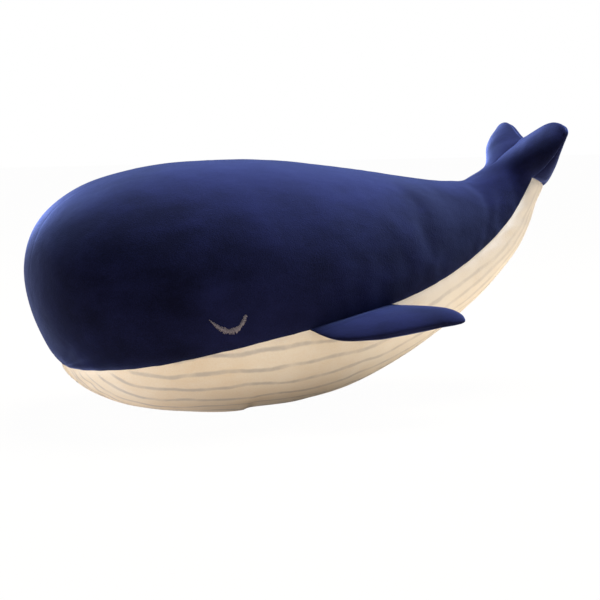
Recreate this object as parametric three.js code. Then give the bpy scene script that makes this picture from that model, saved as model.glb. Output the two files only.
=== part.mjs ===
// A stuffed whale lying on its belly with its tail raised: plush panels sewn round soft filling, with two
// flippers and embroidered closed eyes. Lengths are in millimetres and angles in degrees.
// X runs from head to tail, Y from the whale's left side (negative) to its right, and Z up from the surface
// that it lies on. The origin is on that surface, under the middle of the whale's outer box.

import * as THREE from "three";

// Body
const profileLength = 740; // the outline's points along X are shares of this
const backHeight = 320; // and those along Z of this
const clothThickness = 2; // plush with its backing
const seamGap = 0.3; // left between two cloth edges, and between cloth and filling
const settleHeight = 12; // below this the belly gives under the whale's own weight
const flatDepth = 0.5; // how deep the belly is cut flat where it rests

// Tail fluke, measured from the end of the tail
const flukeSpan = 180;
const flukeReach = 77; // to the tips of the lobes
const notchReach = 54; // to the notch between them
const flukeEdge = 10; // thickness of the rounded edge
const ridgeRise = 8; // how far the middle ridge stands up at the notch
const lobeLean = 5; // how far the lobes lean back behind it
const cornerFall = 13; // how far the edge falls back from a lobe's tip to its outer corner

// Eyes, embroidered on the side panels
const eyeWidth = 44;
const eyeDip = 17; // how far the closed lid hangs below its corners
const eyeBand = 6; // width of the satin stitch in the middle
const threadHeight = 1.4;
const threadGap = 0.5; // between the thread and the cloth below it

// Flippers, each sewn along a straight root at the side seam
const flipperRoot = 125;
const flipperReach = 66; // from the root's line to the farthest edge
const flipperThickness = 19;
const flipperCloth = 1.5;
const flipperTurn = 10; // how far it hangs below square to the body's side

// Shapes as shares. The outline runs from the nose along the belly to the tail, and from the nose over the
// back to the tail.
const bellyShares = [
  [-0.455, 0.18], [-0.4, 0.09], [-0.325, 0.025], [-0.215, -0.002], [-0.05, -0.011],
  [0.115, 0.085], [0.28, 0.29], [0.428, 0.55], [0.49, 0.855],
];
const backShares = [
  [-0.455, 0.18], [-0.52, 0.5], [-0.5, 0.8], [-0.38, 0.97], [-0.18, 1.02],
  [0.03, 0.98], [0.2, 0.91], [0.32, 0.875], [0.385, 0.95],
];
const girthShares = [1, 1, 1, 1, 1, 0.98, 0.96, 0.97, 1]; // a section's width as a share of its height
// The side seam, as a share of half a turn from the top
const seamShares = [0.54, 0.62, 0.635, 0.62, 0.58, 0.57, 0.56, 0.51, 0.51];
const squareShare = 0.02; // how far the sections fill out between top, sides and bottom
const flareShare = 0.8; // how early the fluke widens: less is earlier
const tipShare = 0.74; // where the lobes' tips stand, as a share of the half span
const cornerShare = 0.75; // how much of the corner's own turn the rounded edge follows
const sweepShare = 1.4; // how the trailing edge curves from notch to tip
const thinShare = 0.02; // the least thickness that the fluke's edge is rounded for, of its half width
const eyePlaceShares = [0.4, 0.537]; // along the outline from nose to tail, and of half a turn from the top
const flipperPlaceShare = 0.5; // where the flipper's root starts, along the side seam
// The flipper's edge, from the front of its root round the tip to the back of its root
const flipperShares = [
  [0, 0], [0.06, 0.42], [0.42, 0.74], [0.86, 0.9], [1.26, 1], [1.5, 1.18],
  [1.52, 0.8], [1.42, 0.47], [1.22, 0.25], [1.06, 0.1], [1, 0],
];
const plumpShares = [0, 0.6, 0.95, 1, 0.8, 0.45]; // the flipper's thickness from tip to root
const heartShare = 0.8; // how far inside each row the flipper's faces draw together, in stations
const taperShare = 0.9; // how fine the eye's stitches are at its ends: 1 is a point
const evenShare = 0.6; // how even the body's rows are: 1 is even, less is closer at the nose
const tinyShare = 0.01; // a small step along or round a form, to find its direction
const poleShare = 0.001; // the least step from the nose, where the outline's direction is taken

// Counts
const bodyRows = 22;
const flukeRows = 6;
const sideColumns = 8;
const bellyColumns = 16;
const columns = 2 * sideColumns + bellyColumns;
const flipperRows = 9;
const flipperColumns = 16;
const eyeRows = 12;
const eyeSides = 6;
const rootSteps = 400;

const halfTurn = Math.PI;

// A uniform cubic B-spline through a list of numbers or of points, run straight on at both ends.
function spline(list, t) {
  const last = list.length - 1;
  const i = Math.min(Math.max(Math.floor(t), 0), last);
  const f = t - i;
  const weights = [
    (1 - f) ** 3,
    3 * f ** 3 - 6 * f ** 2 + 4,
    -3 * f ** 3 + 3 * f ** 2 + 3 * f + 1,
    f ** 3,
  ];
  const value = (k, axis) => {
    const pick = (n) => (axis === undefined ? list[n] : list[n][axis]);
    if (k < 0) return pick(0) - k * (pick(0) - pick(1));
    if (k > last) return pick(last) + (k - last) * (pick(last) - pick(last - 1));
    return pick(k);
  };
  const sum = (axis) =>
    weights.reduce((total, weight, n) => total + (weight * value(i - 1 + n, axis)) / 6, 0);
  return Array.isArray(list[0]) ? list[0].map((_, axis) => sum(axis)) : sum();
}

// The body's closed outline, from the tail's underside round the nose to the tail's top.
const outline = [...bellyShares.slice(1).reverse(), ...backShares].map(([along, up]) => [
  along * profileLength,
  up * backHeight,
]);
const stations = backShares.length - 1;

// A section of the body at station t: its middle, the direction of its top, and its half
// height and half width.
function bodySection(t) {
  const reach = Math.max(t, poleShare);
  const top = spline(outline, stations + reach);
  const bottom = spline(outline, stations - reach);
  const across = new THREE.Vector2(top[0] - bottom[0], top[1] - bottom[1]);
  const half = t > 0 ? across.length() / 2 : 0;
  return {
    middle: new THREE.Vector2((top[0] + bottom[0]) / 2, (top[1] + bottom[1]) / 2),
    up: across.normalize(),
    half,
    side: half * spline(girthShares, t),
  };
}

// The belly gives where it lies, and is cut flat there.
function settled(point) {
  const share = Math.max(point.z / settleHeight, 0);
  const z = share < 1 ? settleHeight * share ** 2 * (2 - share) : point.z;
  return point.setZ(Math.max(z - flatDepth, 0));
}

function bodyPoint(t, angle) {
  const { middle, up, half, side } = bodySection(t);
  const fill = 1 + squareShare * Math.sin(2 * angle) ** 2;
  const rise = half * Math.cos(angle) * fill;
  return settled(
    new THREE.Vector3(middle.x + up.x * rise, -side * Math.sin(angle) * fill, middle.y + up.y * rise),
  );
}

const tail = bodySection(stations);

// A point of the fluke: run goes from 0 at the tail to 1 along its trailing edge, where atEdge rounds it off.
function flukePoint(run, angle, atEdge) {
  const radius = flukeEdge / 2;
  const widening = Math.sin((Math.PI / 2) * run) ** flareShare;
  const wide = tail.side + (flukeSpan / 2 - tail.side) * widening - radius;
  const thick = (tail.half - radius) * (1 - run);
  const fill = 1 + squareShare * Math.sin(2 * angle) ** 2 * (1 - run);
  const out = Math.abs(Math.sin(angle));
  const sweep = Math.sin((Math.PI / 2) * Math.min(out / tipShare, 1) ** sweepShare);
  const aside = Math.acos(Math.min(out, 1)); // 0 at the fluke's side
  const tipAside = Math.acos(tipShare);
  const past = Math.max(1 - aside / tipAside, 0);
  const reach = notchReach - radius + (flukeReach - notchReach) * sweep - cornerFall * past ** 2;
  const along = run * reach;
  const lift = run * ridgeRise - run ** 2 * lobeLean * out ** 2;
  const round = new THREE.Vector3(); // along, sideways, up
  if (atEdge) {
    const fall = (2 * cornerFall * past) / tipAside;
    const turn = cornerShare * Math.atan2(fall, wide * Math.sin(aside));
    round.set(Math.cos(turn), Math.sin(turn) * Math.sign(Math.sin(angle)), 0);
  } else {
    const flat = Math.max(thick, wide * thinShare);
    round.set(0, Math.sin(angle) / wide, Math.cos(angle) / flat).normalize();
  }
  const back = along + radius * round.x;
  const rise = thick * Math.cos(angle) * fill + radius * round.z + lift;
  const point = new THREE.Vector3(
    tail.middle.x + tail.up.y * back + tail.up.x * rise,
    -(wide * Math.sin(angle) * fill + radius * round.y),
    tail.middle.y - tail.up.x * back + tail.up.y * rise,
  );
  const normal = new THREE.Vector3(tail.up.y * round.x, -round.y, -tail.up.x * round.x);
  return { point, normal };
}

// Where a column stands round the section, when the side seam is this share of half a turn from the top.
function columnAngle(column, seam) {
  const edge = seam * halfTurn;
  if (column <= sideColumns) return (column / sideColumns) * edge;
  const under = sideColumns + bellyColumns;
  if (column <= under) return edge + ((column - sideColumns) / bellyColumns) * 2 * (halfTurn - edge);
  return 2 * halfTurn - ((columns - column) / sideColumns) * edge;
}

function bodyStation(row) {
  const share = row / bodyRows;
  return stations * (evenShare * share + (1 - evenShare) * share ** 2);
}

// The whale's skin as rows of points with their outward normals, from the nose to the fluke's trailing edge.
function makeSkin() {
  const tailSeam = seamShares[stations];
  const rows = [];
  for (let row = 0; row <= bodyRows; row++) {
    const t = bodyStation(row);
    const seam = spline(seamShares, t);
    rows.push(columnList().map((column) => ({ point: bodyPoint(t, columnAngle(column, seam)) })));
  }
  for (let row = 1; row <= flukeRows + 1; row++) {
    const run = Math.min(row / flukeRows, 1);
    const seam = tailSeam + (1 / 2 - tailSeam) * run;
    const atEdge = row > flukeRows;
    rows.push(columnList().map((column) => flukePoint(run, columnAngle(column, seam), atEdge)));
  }
  const lastRow = rows.length - 1;
  for (let row = 1; row < lastRow; row++)
    for (let column = 0; column < columns; column++) {
      const along = rows[row + 1][column].point.clone().sub(rows[row - 1][column].point);
      const next = rows[row][(column + 1) % columns].point;
      const before = rows[row][(column + columns - 1) % columns].point;
      rows[row][column].normal = next.clone().sub(before).cross(along).normalize();
    }
  const nose = new THREE.Vector3();
  rows[1].forEach((spot) => nose.add(spot.normal));
  rows[0].forEach((spot) => (spot.normal = nose.clone().normalize()));
  return rows;
}

function columnList() {
  return Array.from({ length: columns }, (_, column) => column);
}

const skin = makeSkin();
const skinForm = {
  columns,
  lastRow: skin.length - 1,
  at(row, column, depth) {
    const { point, normal } = skin[row][column % columns];
    return point.clone().addScaledVector(normal, -depth);
  },
};

function geometryOf(points, triangles) {
  const geometry = new THREE.BufferGeometry().setFromPoints(points);
  geometry.setIndex(triangles.flat());
  geometry.computeVertexNormals();
  return geometry;
}

// A sheet of cloth over part of a form, as a closed shell: its outer face, its inner face and the rim between
// them. Its edges stand back from the seam lines by half the gap. Row 0 is the form's pole, one point.
function clothGeometry(form, firstRow, lastRow, firstColumn, lastColumn, thickness) {
  const points = [];
  const triangles = [];
  const index = new Map();
  const middleColumn = Math.round((firstColumn + lastColumn) / 2);

  function vertex(row, column, depth) {
    const key = row === 0 ? `pole ${depth}` : `${row} ${column} ${depth}`;
    if (index.has(key)) return index.get(key);
    const from = form.at(row, row === 0 ? middleColumn : column, depth);
    const point = from.clone();
    const pull = (r, c, distance) =>
      point.addScaledVector(form.at(r, c, depth).sub(from).normalize(), distance);
    if (row === 0) {
      pull(1, middleColumn, seamGap);
    } else {
      if (column === firstColumn) pull(row, column + 1, seamGap / 2);
      if (column === lastColumn) pull(row, column - 1 + form.columns, seamGap / 2);
      if (row === firstRow) pull(row + 1, column, seamGap / 2);
      if (row === lastRow) pull(row - 1, column, seamGap / 2);
    }
    index.set(key, points.push(point) - 1);
    return index.get(key);
  }

  const quad = (a, b, c, d) => triangles.push([a, b, c], [a, c, d]);
  for (let row = firstRow; row < lastRow; row++)
    for (let column = firstColumn; column < lastColumn; column++)
      for (const depth of [0, thickness]) {
        const a = vertex(row, column, depth);
        const b = vertex(row, column + 1, depth);
        const c = vertex(row + 1, column + 1, depth);
        const d = vertex(row + 1, column, depth);
        const outside = depth === 0;
        triangles.push(outside ? [a, c, d] : [a, d, c]);
        if (row > 0) triangles.push(outside ? [a, b, c] : [a, c, b]);
      }

  const rim = (from, to) =>
    quad(vertex(...from, 0), vertex(...to, 0), vertex(...to, thickness), vertex(...from, thickness));
  for (let row = firstRow; row < lastRow; row++) {
    rim([row, firstColumn], [row + 1, firstColumn]);
    rim([row + 1, lastColumn], [row, lastColumn]);
  }
  for (let column = firstColumn; column < lastColumn; column++) {
    if (firstRow > 0) rim([firstRow, column + 1], [firstRow, column]);
    rim([lastRow, column], [lastRow, column + 1]);
  }
  return geometryOf(points, triangles);
}

// The filling of a form: a closed solid at this depth below its surface. Row 0 is one point, and in the last
// row each column meets the one across the form's edge, so that the two faces close there.
function fillingGeometry(form, depth, partner) {
  const points = [];
  const triangles = [];
  const index = new Map();
  const count = form.columns;

  function vertex(row, column) {
    const own = column % count;
    const shared = row === form.lastRow ? Math.min(own, partner(own)) : own;
    const key = row === 0 ? "pole" : `${row} ${shared}`;
    if (!index.has(key)) index.set(key, points.push(form.at(row, shared, depth)) - 1);
    return index.get(key);
  }

  for (let row = 0; row < form.lastRow; row++)
    for (let column = 0; column < count; column++) {
      const a = vertex(row, column);
      const b = vertex(row, column + 1);
      const c = vertex(row + 1, column + 1);
      const d = vertex(row + 1, column);
      if (c !== d) triangles.push([a, c, d]);
      if (row > 0) triangles.push([a, b, c]);
    }
  return geometryOf(points, triangles);
}

// A flipper in its own frame: X along its root from back to front, Y outwards and Z to its upper side. The
// hinge is the X axis. Rows run from the tip to the root, and the last row rounds the root off about it.
const flipperEdge = flipperShares.map(([along, out]) => [(1 - along) * flipperRoot, out * flipperReach]);
const flipperStations = plumpShares.length - 1;
const flipperForm = {
  columns: flipperColumns,
  lastRow: flipperRows + 1,
  at(row, column, depth) {
    const t = (flipperStations * Math.min(row, flipperRows)) / flipperRows;
    const place = (at) => new THREE.Vector2(...spline(flipperEdge, flipperStations + at));
    const inside = Math.min(t + heartShare, flipperStations);
    const heart = place(-inside).add(place(inside)).divideScalar(2);
    const inwards = (point) => point.addScaledVector(heart.clone().sub(point).normalize(), depth);
    const front = inwards(place(-t));
    const back = inwards(place(t));
    const full = (flipperThickness / 2) * spline(plumpShares, t);
    const thick = Math.hypot(full, depth) - depth;
    const angle = (2 * halfTurn * (column % flipperColumns)) / flipperColumns;
    const swing = (1 + Math.cos(angle)) / 2;
    const plan = back.lerp(front, swing);
    if (row > flipperRows) return new THREE.Vector3(plan.x, plan.y - thick * Math.abs(Math.sin(angle)), 0);
    return new THREE.Vector3(plan.x, plan.y, thick * Math.sin(angle));
  },
};

// The point of the side seam at station t, on the whale's left.
function seamPoint(t) {
  return bodyPoint(t, spline(seamShares, t) * halfTurn);
}

// The flipper's frame on the whale's left side: its root's chord on the seam, lifted off the body's bulge.
function flipperFrame() {
  const first = flipperPlaceShare * stations;
  const front = seamPoint(first);
  const step = (stations - first) / rootSteps;
  let last = first;
  while (last < stations && seamPoint(last).distanceTo(front) < flipperRoot) last += step;
  const back = seamPoint(last);
  const along = front.clone().sub(back).normalize();
  const t = (first + last) / 2;
  const angle = spline(seamShares, t) * halfTurn;
  const round = bodyPoint(t, angle + tinyShare).sub(bodyPoint(t, angle - tinyShare));
  const outwards = along.clone().cross(round).normalize();
  let bulge = 0;
  for (let at = first; at <= last; at += step)
    bulge = Math.max(bulge, seamPoint(at).sub(back).dot(outwards));
  const rootRadius = (flipperThickness / 2) * plumpShares[flipperStations];
  const origin = back.addScaledVector(outwards, bulge + rootRadius + seamGap);
  const out = outwards.clone().applyAxisAngle(along, -THREE.MathUtils.degToRad(flipperTurn));
  const up = along.clone().cross(out);
  return new THREE.Matrix4().makeBasis(along, out, up).setPosition(origin);
}

// A point on the side panel's facets, between four neighbouring points of the skin, with its normal.
function facetSpot(row, column) {
  const r = Math.floor(row);
  const c = Math.floor(column);
  const down = row - r;
  const over = column - c;
  const corner = skin[r][c].point;
  const far = skin[r + 1][c + 1].point;
  const third = down > over ? skin[r + 1][c].point : skin[r][c + 1].point;
  const a = down > over ? over : down;
  const b = Math.abs(down - over);
  const point = corner.clone().multiplyScalar(1 - a - b).addScaledVector(far, a).addScaledVector(third, b);
  const normal = third.clone().sub(corner).cross(far.clone().sub(corner)).normalize();
  return { point, normal: down > over ? normal.negate() : normal };
}

// A closed eye: a band of satin stitch along a hanging arc, thick in the middle and fine at both ends.
function eyeGeometry() {
  const [alongShare, roundShare] = eyePlaceShares;
  let row = 0;
  while (bodyStation(row + 1) < alongShare * stations) row++;
  const between = bodyStation(row + 1) - bodyStation(row);
  const homeRow = row + (alongShare * stations - bodyStation(row)) / between;
  const homeColumn = (roundShare / spline(seamShares, alongShare * stations)) * sideColumns;
  const home = facetSpot(homeRow, homeColumn);
  const rowLength = facetSpot(homeRow + 1, homeColumn).point.distanceTo(home.point);
  const columnLength = facetSpot(homeRow, homeColumn - 1).point.distanceTo(home.point);

  const points = [];
  const triangles = [];
  const arcSpot = (share) => {
    const dip = eyeDip * (1 / 2 - share ** 2);
    return facetSpot(homeRow + (share * eyeWidth) / 2 / rowLength, homeColumn + dip / columnLength);
  };
  for (let step = 0; step <= eyeRows; step++) {
    const share = (2 * step) / eyeRows - 1;
    const spot = arcSpot(share);
    const along = arcSpot(share + tinyShare).point.sub(spot.point).normalize();
    const across = spot.normal.clone().cross(along).normalize();
    const base = spot.point.clone().addScaledVector(spot.normal, threadGap + threadHeight / 2);
    const swell = Math.sqrt(1 - taperShare * share ** 2);
    for (let side = 0; side < eyeSides; side++) {
      const angle = (2 * halfTurn * side) / eyeSides;
      points.push(
        base
          .clone()
          .addScaledVector(across, (eyeBand / 2) * swell * Math.cos(angle))
          .addScaledVector(spot.normal, (threadHeight / 2) * swell * Math.sin(angle)),
      );
    }
  }
  const at = (step, side) => step * eyeSides + (side % eyeSides);
  for (let step = 0; step < eyeRows; step++)
    for (let side = 0; side < eyeSides; side++) {
      triangles.push([at(step, side), at(step + 1, side + 1), at(step + 1, side)]);
      triangles.push([at(step, side), at(step, side + 1), at(step + 1, side + 1)]);
    }
  for (let side = 1; side < eyeSides - 1; side++) {
    triangles.push([at(0, 0), at(0, side + 1), at(0, side)]);
    triangles.push([at(eyeRows, 0), at(eyeRows, side), at(eyeRows, side + 1)]);
  }
  return geometryOf(points, triangles);
}

const navyPlush = new THREE.MeshStandardMaterial({ color: 0x252c5a, roughness: 0.95, metalness: 0 });
const creamPlush = new THREE.MeshStandardMaterial({ color: 0xe8dcc8, roughness: 0.95, metalness: 0 });
const fibreFilling = new THREE.MeshStandardMaterial({ color: 0xf3f1ec, roughness: 1, metalness: 0 });
const eyeThread = new THREE.MeshStandardMaterial({ color: 0xb9bac8, roughness: 0.6, metalness: 0 });

function piece(name, geometry, material) {
  const mesh = new THREE.Mesh(geometry, material);
  mesh.name = name;
  return mesh;
}

// The pieces of one side, built for the whale's left.
function sidePieces(side) {
  const group = new THREE.Group();
  const lastRow = skinForm.lastRow;
  const cover = clothGeometry(skinForm, 0, lastRow, 0, sideColumns, clothThickness);
  group.add(piece(`${side}_side_cover`, cover, navyPlush));
  group.add(piece(`${side}_eye`, eyeGeometry(), eyeThread));

  const flipper = new THREE.Group();
  flipper.applyMatrix4(flipperFrame());
  const half = flipperColumns / 2;
  const rows = flipperForm.lastRow;
  const upper = clothGeometry(flipperForm, 0, rows, 0, half, flipperCloth);
  const under = clothGeometry(flipperForm, 0, rows, half, flipperColumns, flipperCloth);
  const across = (column) => (flipperColumns - column) % flipperColumns;
  const filling = fillingGeometry(flipperForm, flipperCloth + seamGap, across);
  flipper.add(piece(`${side}_flipper_upper_cover`, upper, navyPlush));
  flipper.add(piece(`${side}_flipper_under_cover`, under, navyPlush));
  flipper.add(piece(`${side}_flipper_filling`, filling, fibreFilling));
  group.add(flipper);
  return group;
}

function makeWhale() {
  const whale = new THREE.Group();
  const left = sidePieces("left");
  const right = sidePieces("right");
  right.scale.y = -1;
  whale.add(left, right);

  const underEnd = sideColumns + bellyColumns;
  const belly = clothGeometry(skinForm, 0, bodyRows, sideColumns, underEnd, clothThickness);
  const fluke = clothGeometry(skinForm, bodyRows, skinForm.lastRow, sideColumns, underEnd, clothThickness);
  const across = (column) => (columns / 2 - column + columns) % columns;
  const filling = fillingGeometry(skinForm, clothThickness + seamGap, across);
  whale.add(piece("belly_cover", belly, creamPlush));
  whale.add(piece("fluke_under_cover", fluke, navyPlush));
  whale.add(piece("body_filling", filling, fibreFilling));

  const box = new THREE.Box3().setFromObject(whale);
  whale.position.x = -(box.min.x + box.max.x) / 2;
  return whale;
}

export default makeWhale();
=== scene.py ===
# Plush whale: plush covers with sewn seams, printed belly lines, stitched eyes and padded flippers.
# Metres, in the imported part's frame: X from head to tail, Y to the whale's right, Z up.
import math

import bmesh
import bpy
import numpy as np
from mathutils import Matrix, Vector


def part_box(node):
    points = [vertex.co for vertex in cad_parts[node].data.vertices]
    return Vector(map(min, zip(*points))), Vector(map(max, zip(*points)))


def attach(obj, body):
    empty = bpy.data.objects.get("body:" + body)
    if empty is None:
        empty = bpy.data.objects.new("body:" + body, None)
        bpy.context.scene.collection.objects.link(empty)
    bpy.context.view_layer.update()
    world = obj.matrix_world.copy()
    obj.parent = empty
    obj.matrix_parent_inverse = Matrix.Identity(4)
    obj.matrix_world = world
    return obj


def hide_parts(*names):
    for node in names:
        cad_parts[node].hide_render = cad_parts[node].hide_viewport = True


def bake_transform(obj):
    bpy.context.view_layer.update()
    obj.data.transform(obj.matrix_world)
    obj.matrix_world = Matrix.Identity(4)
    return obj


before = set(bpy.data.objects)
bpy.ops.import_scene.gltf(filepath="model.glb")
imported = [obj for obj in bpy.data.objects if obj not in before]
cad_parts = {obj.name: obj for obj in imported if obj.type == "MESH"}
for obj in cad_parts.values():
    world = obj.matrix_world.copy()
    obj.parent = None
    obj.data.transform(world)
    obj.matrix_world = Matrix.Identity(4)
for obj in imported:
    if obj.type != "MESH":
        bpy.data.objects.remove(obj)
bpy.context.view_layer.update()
scene = bpy.context.scene
scene.view_settings.view_transform = "Standard"
print("stage: frame loaded")


# Camera
cameraValues = {
    "place": (-0.8500, -1.8126, 0.413),
    "turn": -25.0,  # degrees round from the whale's left side towards its head
    "pitch": 7.98,  # degrees down
    "lens": 91.0,
}


def makeCamera(values):
    data = bpy.data.cameras.new("photoCamera")
    data.lens = values["lens"]
    data.sensor_width = 36.0
    camera = bpy.data.objects.new("photoCamera", data)
    scene.collection.objects.link(camera)
    turn = math.radians(values["turn"])
    pitch = math.radians(values["pitch"])
    ahead = Vector((-math.sin(turn) * math.cos(pitch), math.cos(turn) * math.cos(pitch), -math.sin(pitch)))
    camera.location = values["place"]
    camera.rotation_euler = ahead.to_track_quat("-Z", "Y").to_euler()
    scene.camera = camera


makeCamera(cameraValues)


# Shape of the whale's skin. Stations run from 0 at the nose to 8 at the end of the tail. The fluke follows
# from 8 to 9, and its edge rounds off from 9 to 10. Columns run from 0 at the back seam over 1 at the left
# side seam, 2 at the middle of the belly and 3 at the right side seam to 4 at the back seam again.
bodyValues = {
    "length": 0.740,
    "height": 0.320,
    # the outline from the nose to the tail's end, in lengths and heights
    "belly": [(-0.455, 0.18), (-0.4, 0.09), (-0.325, 0.025), (-0.215, -0.002), (-0.05, -0.011),
              (0.115, 0.085), (0.28, 0.29), (0.428, 0.55), (0.49, 0.855)],
    "back": [(-0.455, 0.18), (-0.52, 0.5), (-0.5, 0.8), (-0.38, 0.97), (-0.18, 1.02),
             (0.03, 0.98), (0.2, 0.91), (0.32, 0.875), (0.385, 0.95)],
    "girth": [1, 1, 1, 1, 1, 0.98, 0.96, 0.97, 1],  # how wide each section is, in its own heights
    "seam": [0.54, 0.62, 0.635, 0.62, 0.58, 0.57, 0.56, 0.51, 0.51],  # in half turns from the back
    "square": 0.02,  # how much fuller a section is than an ellipse
    "settle": 0.012,  # the height below which the belly gives
    "flat": 0.0005,  # how far it is pressed flat
    "cloth": 0.002,
    "gap": 0.0003,  # between cloth and what is sewn in or filled
    "sewn": 0.00008,  # between the cloth edges of a seam
}
flukeValues = {
    "span": 0.180,
    "reach": 0.0785,  # from the tail's end to the tips
    "notch": 0.054,  # and to the notch between the lobes
    "edge": 0.010,  # thickness of the trailing edge
    "round": 0.8,  # the way over half its rounding, in thicknesses
    "ridge": 0.008,  # how far its middle rises to the edge
    "lean": 0.005,  # and how much less its sides do
    "flare": 0.8,  # the power with which it widens
    "tip": 0.77,  # where a lobe reaches farthest, in half spans
    "corner": 0.010,  # how far the edge falls back from there to the corner
    "cornerTurn": 0.75,  # and how far its rounding turns outwards with it
    "sweep": 1.4,  # the power with which the edge runs from the notch to a tip
    "thin": 0.02,  # the least thickness from which the rounding's direction is worked out, in widths
    # the tight fold beside a corner: from which share of the fluke, over how much, half width in columns
    "fold": (0.8, 0.15, 0.12),
}
stations = len(bodyValues["back"]) - 1


def spline(points, t):
    # uniform cubic B-spline that runs straight on at both ends
    points = np.asarray(points, float)
    last = len(points) - 1
    t = np.asarray(t, float)
    i = np.clip(np.floor(t).astype(int), 0, last)
    f = t - i
    run = np.concatenate([[2 * points[0] - points[1]], points, [2 * points[-1] - points[-2]],
                          [3 * points[-1] - 2 * points[-2]]])
    weights = [(1 - f) ** 3, 3 * f ** 3 - 6 * f ** 2 + 4, -3 * f ** 3 + 3 * f ** 2 + 3 * f + 1, f ** 3]
    total = 0
    for n, weight in enumerate(weights):
        value = run[i + n]
        total = total + (weight[..., None] if value.ndim > f.ndim else weight) * value / 6
    return total


outline = np.array(bodyValues["belly"][:0:-1] + bodyValues["back"])
outline = outline * (bodyValues["length"], bodyValues["height"])


def bodySection(t):
    reach = np.maximum(t, 0.001)
    top = spline(outline, stations + reach)
    bottom = spline(outline, stations - reach)
    across = top - bottom
    size = np.linalg.norm(across, axis=-1)
    half = np.where(t > 0, size / 2, 0)
    return (top + bottom) / 2, across / size[..., None], half, half * spline(bodyValues["girth"], t)


def settled(points):
    # the belly gives where it lies
    share = np.maximum(points[..., 2] / bodyValues["settle"], 0)
    soft = bodyValues["settle"] * share ** 2 * (2 - share)
    points[..., 2] = np.maximum(np.where(share < 1, soft, points[..., 2]) - bodyValues["flat"], 0)
    return points


def bodyPoints(t, angle):
    middle, up, half, side = bodySection(t)
    fill = 1 + bodyValues["square"] * np.sin(2 * angle) ** 2
    rise = half * np.cos(angle) * fill
    return settled(np.stack([middle[..., 0] + up[..., 0] * rise, -side * np.sin(angle) * fill,
                             middle[..., 1] + up[..., 1] * rise], -1))


def ramp(value, start, length):
    # grows from 0 at the start to 1 a length further on, or further back if the length is negative
    return np.clip((value - start) / length, 0, 1)


def eased(share):
    return share * share * (3 - 2 * share)


def unit(vectors):
    return vectors / np.maximum(np.linalg.norm(vectors, axis=-1, keepdims=True), 1e-12)


def flukePoints(run, angle, turn, more=0.0):
    # turn rounds the trailing edge off, from 0 on the faces to 1 at the edge's middle, and more swells it
    middle, up, half, side = [value[0] for value in bodySection(np.array([float(stations)]))]
    values = flukeValues
    radius = values["edge"] / 2
    wide = side + (values["span"] / 2 - side) * np.sin(np.pi / 2 * run) ** values["flare"] - radius
    thick = (half - radius) * (1 - run)
    fill = 1 + bodyValues["square"] * np.sin(2 * angle) ** 2 * (1 - run)
    out = np.abs(np.sin(angle))
    sweep = np.sin(np.pi / 2 * np.minimum(out / values["tip"], 1) ** values["sweep"])
    aside, tipAside = np.arccos(np.minimum(out, 1)), np.arccos(values["tip"])
    past = np.maximum(1 - aside / tipAside, 0)
    fall = values["corner"] * past ** 2
    long = values["notch"] - radius + (values["reach"] - values["notch"]) * sweep - fall
    along = run * long
    lift = run * values["ridge"] - run ** 2 * values["lean"] * out ** 2
    thinnest = np.maximum(thick, wide * values["thin"])
    face = unit(np.stack([0 * out, np.sin(angle) / wide, np.cos(angle) / thinnest], -1))
    # near the edge the rounding starts square to the slope of the face, so that no crease shows there
    slope = values["ridge"] - 2 * values["lean"] * out ** 2 - (half - radius) * np.cos(angle)
    tangent = unit(np.stack([long, 0 * out, slope], -1))
    share = (run ** 4)[..., None] * (face * tangent).sum(-1, keepdims=True)
    face = unit(face - share * tangent)
    outwards = values["cornerTurn"] * np.arctan2(2 * values["corner"] * past / tipAside, wide * np.sin(aside))
    edge = np.stack([np.cos(outwards), np.sin(outwards) * np.sign(np.sin(angle)), 0 * out], -1)
    quarter = (turn * np.pi / 2)[..., None]
    rounded = unit(face * np.cos(quarter) + edge * np.sin(quarter))
    radius = radius + more
    back = along + radius * rounded[..., 0]
    rise = thick * np.cos(angle) * fill + radius * rounded[..., 2] + lift
    sideways = wide * np.sin(angle) * fill + radius * rounded[..., 1]
    return np.stack([middle[0] + up[1] * back + up[0] * rise, -sideways,
                     middle[1] - up[0] * back + up[1] * rise], -1)


def seamShare(row):
    # how far round a side seam lies, as a share of half a turn from the back
    tail = bodyValues["seam"][stations]
    run = ramp(row, stations, 1)
    onBody = spline(bodyValues["seam"], np.minimum(row, stations))
    return np.where(row > stations, tail + (0.5 - tail) * run, onBody)


def columnAngle(column, seam):
    edge = seam * np.pi
    left = column * edge
    belly = edge + (column - 1) * (np.pi - edge)
    right = 2 * np.pi - (4 - column) * edge
    return np.where(column <= 1, left, np.where(column <= 3, belly, right))


def skinPoints(row, column, more=0.0):
    row, column = np.broadcast_arrays(np.asarray(row, float), np.asarray(column, float))
    angle = columnAngle(column, seamShare(row))
    body = bodyPoints(np.minimum(row, stations), angle)
    fluke = flukePoints(ramp(row, stations, 1), angle, ramp(row, stations + 1, 1), more)
    return np.where((row > stations)[..., None], fluke, body)


def gridNormals(points):
    # outward normals of a grid whose columns run round and close
    along = np.gradient(points, axis=0)
    step = unit(np.roll(points, -1, axis=1) - points)
    around = step + np.roll(step, 1, axis=1)
    normals = unit(np.cross(around, along))
    normals[0] = unit(normals[1].sum(0))
    return normals


def mirroredColumn(column):
    return np.where(column > 2, 4 - column, column)


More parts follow.
